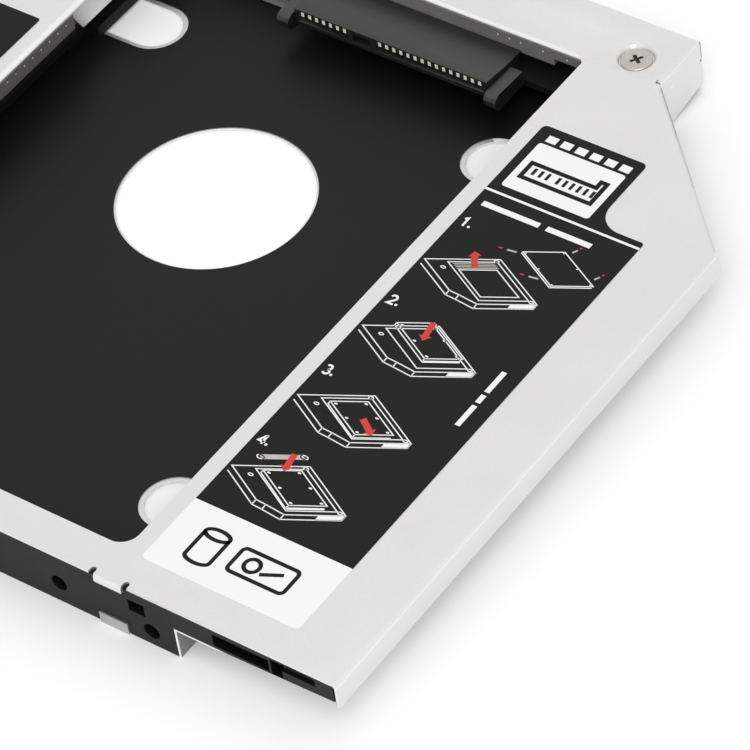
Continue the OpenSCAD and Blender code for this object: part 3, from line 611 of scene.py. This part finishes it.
def domeGrid(place, outward, size, rise, rings=6, steps=20):
    # A low dome on an upright face: the rise falls from full in the middle to
    # nothing at the rim as a circle's arc does
    angle = np.linspace(0, 2 * np.pi, steps, endpoint=False)
    share = np.sin(np.linspace(0.02, 1, rings) * np.pi / 2)[:, None]
    lift = np.sqrt(np.clip(1 - share ** 2, 0, 1)) * rise
    sideways = share * np.cos(angle) * size[0]
    upward = share * np.sin(angle) * size[1]
    outward = np.asarray(outward, float)
    level = np.array([-outward[1], outward[0], 0])
    points = (np.asarray(place) + sideways[..., None] * level
              + upward[..., None] * np.array([0, 0, 1])
              + np.broadcast_to(lift, sideways.shape)[..., None] * outward)
    back = points[-1:] - outward * 0.05
    grid = np.concatenate([points, back])
    rows = len(grid)
    faces = gridFaces(rows, steps, False, True)
    faces = [face[::-1] for face in faces]
    faces += [tuple(range(steps)), tuple((rows - 1) * steps + k for k in range(steps))[::-1]]
    return grid.reshape(-1, 3), faces


def blockPart(low, high):
    # A closed box between two corners
    (x0, y0, z0), (x1, y1, z1) = low, high
    verts = [(x0, y0, z0), (x1, y0, z0), (x1, y1, z0), (x0, y1, z0),
             (x0, y0, z1), (x1, y0, z1), (x1, y1, z1), (x0, y1, z1)]
    return verts, [(3, 2, 1, 0), (4, 5, 6, 7), (0, 1, 5, 4), (1, 2, 6, 5), (2, 3, 7, 6),
                   (3, 0, 4, 7)]


def makeSmallMarks(spec):
    face = bayEdge["leftX"]
    band = boxOf("rear_frame")[0][1] + 0.9
    size = (spec["pipRadius"],) * 2
    parts = [domeGrid((face, y, spec["railPipZ"]), (1, 0, 0), size, spec["pipHeight"])
             for y in spec["railPipY"]]
    parts += [domeGrid((x, band, spec["rearPipZ"]), (0, -1, 0), size, spec["pipHeight"])
              for x in spec["rearPipX"]]
    shadeSmooth(addPiece("moulding_pips", *joinParts(parts), "pipGrey", "grey_plastic"), 60)
    dimple = domeGrid(spec["dimplePlace"], (1, 0, 0), spec["dimpleSize"], spec["dimpleRise"], 8, 28)
    shadeSmooth(addPiece("corner_dimple", *dimple, "satinSteel", "satin_steel"), 60)
    dot = domeGrid(spec["seamDot"], (1, 0, 0), spec["seamDotSize"], 0.05)
    addPiece("corner_seam", *joinParts([blockPart(*spec["seam"]), dot]), "seamShade",
             "satin_steel")


# Thin skins where the folded sheet turns: painted highlight along the bay's edge,
# painted shade along the sloping corner, and a strip in the film's black behind the drive connector
foldSkins = {
    "thick": 0.006,
    "bayRear": bayEdge["rearY"], "bayLeft": bayEdge["leftX"], "bayFront": -56.0, "bayRight": 24.6,
    "leftWidths": (0.95, 0.62), "rearWidths": (0.6, 0.36), "inset": 0.2,
    "slope": ((38.6, 51.75), (46.0, 44.45), (54.0, 36.57), (63.5, 27.2)),
    "slopeWidth": 0.19, "slopeShades": ("greySteel", "softGreySteel", "paleGreySteel"),
    "filmEnd": ((13.6, 46.5, 0.41), (25.2, 51.9, 0.585)),
}


def makeFoldSkins(spec):
    # Each skin lies on the cover's top face, the narrower one on the wider one
    top, thick = trayHigh[2], spec["thick"]
    edge, rear = spec["bayLeft"] - spec["inset"], spec["bayRear"] + spec["inset"]
    # Painted highlight along the bay's left and rear edges
    for number, (across, along) in enumerate(zip(spec["leftWidths"], spec["rearWidths"])):
        low, high = top - 0.01, top + thick * (number + 1)
        parts = [blockPart((edge - across, spec["bayFront"], low), (edge, rear, high)),
                 blockPart((edge, rear, low), (spec["bayRight"], rear + along, high))]
        addPiece(f"bay_edge_highlight_{number}", *joinParts(parts), ("paleSteel", "cutSteel")[number],
                 "satin_steel")
    # Painted shade along the sloping corner's fold
    for number, steel in enumerate(spec["slopeShades"]):
        part = strokePlate(spec["slope"][number:number + 2], spec["slopeWidth"], top - 0.01,
                           top + thick)
        addPiece(f"slope_edge_shade_{number}", *part, steel, "satin_steel")
    addPiece("film_end_strip", *blockPart(*spec["filmEnd"]), "blackFilm", "black_film")


makeCoverScrews(coverScrew)
makeSmallMarks(smallMarks)
addPiece("corner_fold_fill", *blockPart(*smallMarks["cornerFill"]), "satinSteel", "satin_steel")
print("screws and small marks made")


# Print on the labels: thin closed plates
def strokePlate(points, width, low, high, closed=False):
    # A bar along a path: each point steps half the width to both sides, along
    # the mitre of its two neighbours' normals
    path = np.asarray(points, float)
    ahead = np.roll(path, -1, 0) - path
    if not closed:
        ahead[-1] = ahead[-2]
    ahead /= np.linalg.norm(ahead, axis=1)[:, None]
    behind = np.roll(ahead, 1, 0)
    if not closed:
        behind[0] = ahead[0]
    normals = [np.stack([-way[:, 1], way[:, 0]], 1) for way in (ahead, behind)]
    mitre = (normals[0] + normals[1]) / (1 + (normals[0] * normals[1]).sum(1))[:, None]
    left, right = path + mitre * width / 2, path - mitre * width / 2
    rings = np.stack([np.column_stack([edge, np.full(len(path), height)])
                      for edge, height in ((left, low), (left, high), (right, high), (right, low))],
                     1)
    count = len(path)
    faces = gridFaces(count, 4, closed, True)
    faces = [face[::-1] for face in faces]
    if not closed:
        last = (count - 1) * 4
        faces += [(0, 1, 2, 3), (last + 3, last + 2, last + 1, last)]
    return rings.reshape(-1, 3), faces


def fillPlate(outline, low, high):
    # A flat plate whose outline runs anticlockwise
    edge = np.asarray(outline, float)
    count = len(edge)
    verts = np.concatenate([np.column_stack([edge, np.full(count, height)])
                            for height in (low, high)])
    sides = [(k, (k + 1) % count, count + (k + 1) % count, count + k) for k in range(count)]
    return verts, [tuple(range(count))[::-1], tuple(range(count, 2 * count)), *sides]


def arcPoints(centre, radius, start, end, steps=12):
    # Points on an ellipse's arc, angles in degrees
    turn = np.radians(np.linspace(start, end, steps))
    reach = np.broadcast_to(radius, 2)
    return np.column_stack([centre[0] + reach[0] * np.cos(turn),
                            centre[1] + reach[1] * np.sin(turn)])


def roundedBox(x0, y0, x1, y1, radius, steps=6):
    # A rectangle with round corners, radius given once or for each corner from
    # the front left anticlockwise
    radii = np.broadcast_to(radius, 4)
    corners = [(x0, y0, 180), (x1, y0, 270), (x1, y1, 0), (x0, y1, 90)]
    return np.concatenate([
        arcPoints((x + r * (1 if x == x0 else -1), y + r * (1 if y == y0 else -1)),
                  max(r, 1e-3), start, start + 90, steps)
        for (x, y, start), r in zip(corners, radii)])


makeFoldSkins(foldSkins)


labelPrint = {
    "thick": 0.012,
    "wrap": 0.02,  # the white field reaches this far over the label's edge
    "panelLength": 12.1,  # white field at the label's front
    "ruleY": 22.65, "ruleWidth": 0.42,
    "line": 0.17,  # pen width of the drawings
    "boldLine": 0.62,
    "numberX": 29.65, "numberY": (15.6, -1.9, -17.2, -32.1), "numberHeight": 1.75,
    "numberLine": 0.34,
    "trayX": 28.95, "trayY": (6.8, -8.0, -23.1, -38.1), "traySize": 10.7,
    "drive": (40.2, 14.5), "driveSize": 5.9,
}
labelLow, labelHigh = boxOf("label_right")
printLow = labelHigh[2]
printHigh = printLow + labelPrint["thick"]
whiteParts, redParts, greyParts, blackParts = [], [], [], []


def ink(parts, points, width=None, closed=False):
    parts.append(strokePlate(points, width or labelPrint["line"], printLow, printHigh, closed))


def inkArea(parts, outline, lift=0.0):
    parts.append(fillPlate(outline, printLow + lift, printHigh + lift))


def digitPaths(digit):
    # Centre lines of a digit in a box 0.6 wide and 1 high
    if digit == 1:
        return [[(0.08, 0.78), (0.34, 0.97), (0.34, 0.0)]]
    if digit == 2:
        return [np.vstack([arcPoints((0.3, 0.7), (0.27, 0.27), 165, -35, 9), [(0.05, 0.03)],
                           [(0.6, 0.03)]])]
    if digit == 3:
        return [arcPoints((0.29, 0.74), (0.24, 0.23), 150, -90, 9),
                arcPoints((0.29, 0.26), (0.28, 0.25), 90, -150, 9)]
    return [[(0.64, 0.27), (0.04, 0.27), (0.42, 0.96)], [(0.46, 1.0), (0.46, 0.0)]]


def printNumbers(spec):
    size = spec["numberHeight"]
    for digit, y in enumerate(spec["numberY"], 1):
        start = np.array([spec["numberX"] - 0.45, y - size / 2])
        for path in digitPaths(digit):
            ink(whiteParts, np.asarray(path) * size + start, spec["numberLine"])
        inkArea(whiteParts, arcPoints(start + (1.5, 0.2), 0.22, 0, 324, 10))


def isometric(points, origin, size):
    # Plan (across, along, up) in shares of the size, drawn at 30 degrees
    plan = np.asarray(points, float)
    across, along = plan[:, 0], plan[:, 1]
    up = plan[:, 2] if plan.shape[1] > 2 else 0
    return np.column_stack([origin[0] + size * (across + along) * 0.88,
                            origin[1] + size * ((across - along) * 0.46 + up)])


def rectangle(x0, y0, x1, y1, up=0.0):
    return [(x0, y0, up), (x0, y1, up), (x1, y1, up), (x1, y0, up)]


def drawTray(origin, size, thin=0.09):
    # A tray seen from above: its outline, its near edges' thickness and its bay
    rim = [(0, 0), (0, 0.7), (0.08, 0.8), (0.22, 1), (1, 1), (1, 0)]
    near = [(0, 0, -thin), (0, 0.7, -thin), (0.08, 0.8, -thin), (0.22, 1, -thin),
            (1, 1, -thin), (1, 1, 0)]
    place = lambda points: isometric(points, origin, size)
    ink(whiteParts, place(rim), closed=True)
    ink(whiteParts, place(near))
    for corner in ((0, 0.7), (0.08, 0.8), (0.22, 1)):
        ink(whiteParts, place([(*corner, 0), (*corner, -thin)]))
    inkArea(whiteParts, place([(0.66, 1, -0.005), (0.66, 1, -thin), (1, 1, -thin), (1, 1, -0.005)]))
    ink(whiteParts, place(rectangle(0.28, 0.06, 0.93, 0.92)), closed=True)
    for spot in ((0.16, 0.18), (0.93, 0.04), (0.95, 0.95)):
        ring = arcPoints(spot, 0.028, 0, 330, 12)
        ink(whiteParts, place(ring), labelPrint["line"] * 0.9, closed=True)


def drawDrive(origin, size, plan, up=0.05, bold=False):
    # A drive's outline in the bay with its four corner screws and near edge
    x0, y0, x1, y1 = plan
    place = lambda points: isometric(points, origin, size)
    ink(whiteParts, place(rectangle(x0, y0, x1, y1, up)), closed=True)
    ink(whiteParts, place([(x0, y1, up - 0.06), (x1, y1, up - 0.06)]),
        labelPrint["line"] * (2.2 if bold else 1))
    ink(whiteParts, place([(x0, y0, up), (x0, y0, up - 0.05), (x0, y1, up - 0.06),
                           (x0, y1, up)]))
    inset = 0.05
    for x in (x0 + inset, x1 - inset):
        for y in (y0 + inset, (y0 + y1) / 2, y1 - inset):
            inkArea(whiteParts, place([(*p, up) for p in arcPoints((x, y), 0.022, 0, 315, 8)]))


def drawArrow(start, end, width=0.95):
    # A block arrow from start to end with a head twice as wide as its shaft
    start, end = np.array(start, float), np.array(end, float)
    ahead = (end - start) / np.linalg.norm(end - start)
    across = np.array([-ahead[1], ahead[0]])
    neck = end - ahead * width * 1.05
    outline = [start - across * width / 2, neck - across * width / 2, neck - across * width,
               end, neck + across * width, neck + across * width / 2, start + across * width / 2]
    inkArea(redParts, outline, labelPrint["thick"])


def printDrawings(spec):
    size = spec["traySize"]
    origins = [(spec["trayX"], y) for y in spec["trayY"]]
    for origin in origins:
        drawTray(origin, size)
    place = lambda points, number: isometric(points, origins[number], size)
    for share in (0.1, 0.135, 0.17, 0.205):
        ink(greyParts, place([(0.33, share, 0), (0.88, share, 0)], 0), 0.16)
    ink(whiteParts, place(rectangle(0.34, 0.24, 0.84, 0.84), 0), closed=True)
    drawDrive(spec["drive"], spec["driveSize"], (0, 0, 1, 1.38), 0.0)
    for spot, way in (((0, 0.12), -1), ((0, 1.2), -1), ((1, 0.12), 1), ((1, 1.2), 1)):
        screw = isometric([(spot[0] + way * 0.16, spot[1] - 0.1, 0),
                           (spot[0] + way * 0.34, spot[1] - 0.2, 0)],
                          spec["drive"], spec["driveSize"])
        ink(greyParts, screw, 0.3)
        ink(redParts, isometric([(spot[0] + way * 0.42, spot[1] - 0.26, 0),
                                 (spot[0] + way * 0.5, spot[1] - 0.3, 0)],
                                spec["drive"], spec["driveSize"]), 0.2)
    drawDrive(origins[1], size, (0.37, 0.04, 0.86, 0.82), 0.1, bold=True)
    drawDrive(origins[2], size, (0.33, 0.16, 0.82, 0.86), 0.03)
    drawDrive(origins[3], size, (0.33, 0.12, 0.82, 0.84), 0.03, bold=True)
    inkArea(greyParts, place(rectangle(0.3, -0.09, 0.86, 0.01, 0.14), 3))
    for across in (0.3, 0.86):
        ink(whiteParts, place([(*p, 0.14) for p in arcPoints((across, -0.04), 0.045, 0, 330, 12)],
                              3), 0.16, closed=True)
    drawArrow((36.1, 8.6), (34.3, 11.4))
    drawArrow((37.3, -2.9), (37.9, -6.5))
    drawArrow((39.4, -22.5), (42.3, -24.5))
    drawArrow((35.2, -32.3), (35.7, -35.6))


def dashWords(start, way, lengths, gap, width, parts):
    # Plain bars that stand where a line of words would be
    start, way = np.array(start, float), np.array(way, float)
    for length in lengths:
        ink(parts, [start, start + way * length], width)
        start = start + way * (length + gap)


def printHead(spec):
    # The upper field: a white panel with a connector's face, and plain bars
    left, right = labelLow[0], labelLow[0] + 17.5
    dashWords((left + 2.0, 35.2), (1, 0), (1.7,) * 6, 0.78, 1.35, whiteParts)
    inkArea(whiteParts, roundedBox(left + 1.5, 24.2, right - 1.3, 34.0, 0.5))
    dashWords((left + 1.4, 19.9), (1, 0), (9.6, 7.4), 1.2, 0.95, whiteParts)
    ink(whiteParts, [(left, spec["ruleY"]), (labelHigh[0], spec["ruleY"])], spec["ruleWidth"])
    dashWords((51.2, -17.3), (0, 1), (4.2, 1.6, 4.3), 0.6, 0.8, whiteParts)
    middle = (left + right) / 2 + 0.1
    lift = spec["thick"]
    face = np.array([(-5.9, -2.2), (5.9, -2.2), (5.9, 2.2), (4.9, 2.2), (4.9, 0.9), (-5.9, 0.9)])
    blackParts.append(strokePlate(face + (middle, 29.1), 0.75, printLow + lift,
                                  printHigh + lift, True))
    for k in range(9):
        x = middle - 4.6 + k * 1.15 + (0.6 if k > 2 else 0)
        blackParts.append(strokePlate([(x, 27.9), (x, 29.3)], 0.5, printLow + lift,
                                      printHigh + lift))


def printFoot(spec):
    # The white field at the front, with a drive's disc and arm in bold lines
    low, high, wrap = labelLow, labelHigh, spec["wrap"]
    field = roundedBox(low[0] - wrap, low[1] - wrap, high[0] + wrap,
                       low[1] + spec["panelLength"], (0.8 + wrap, 0.8 + wrap, 0, 0))
    whiteParts.append(fillPlate(field, low[2] + 0.004, printHigh))
    lift = spec["thick"]
    bold = spec["boldLine"]

    def inkBold(points, closed=False):
        blackParts.append(strokePlate(points, bold, printLow + lift, printHigh + lift, closed))

    left, width, top, foot = 33.0, 4.0, -49.3, -54.2
    middle = left + width / 2
    inkBold(arcPoints((middle, top), (width / 2, 0.85), 0, 345, 24), closed=True)
    inkBold(np.vstack([[(left, top)], arcPoints((middle, foot + 0.3), (width / 2, 0.85), 180, 360, 14),
                       [(left + width, top)]]))
    case = roundedBox(39.4, -53.6, 48.6, -49.2, 0.7)
    inkBold(case, closed=True)
    inkBold(arcPoints((42.2, -51.4), 1.15, 0, 345, 24), closed=True)
    inkBold([(43.9, -52.2), (46.9, -50.7)])


printNumbers(labelPrint)
printDrawings(labelPrint)
printHead(labelPrint)
printFoot(labelPrint)
for name, parts, material in (("label_white_print", whiteParts, "labelWhite"),
                              ("label_grey_print", greyParts, "nickel"),
                              ("label_red_print", redParts, "labelRed"),
                              ("label_black_print", blackParts, "labelBlack")):
    addPiece(name, *joinParts(parts), material, "label_film")
print("label printed")
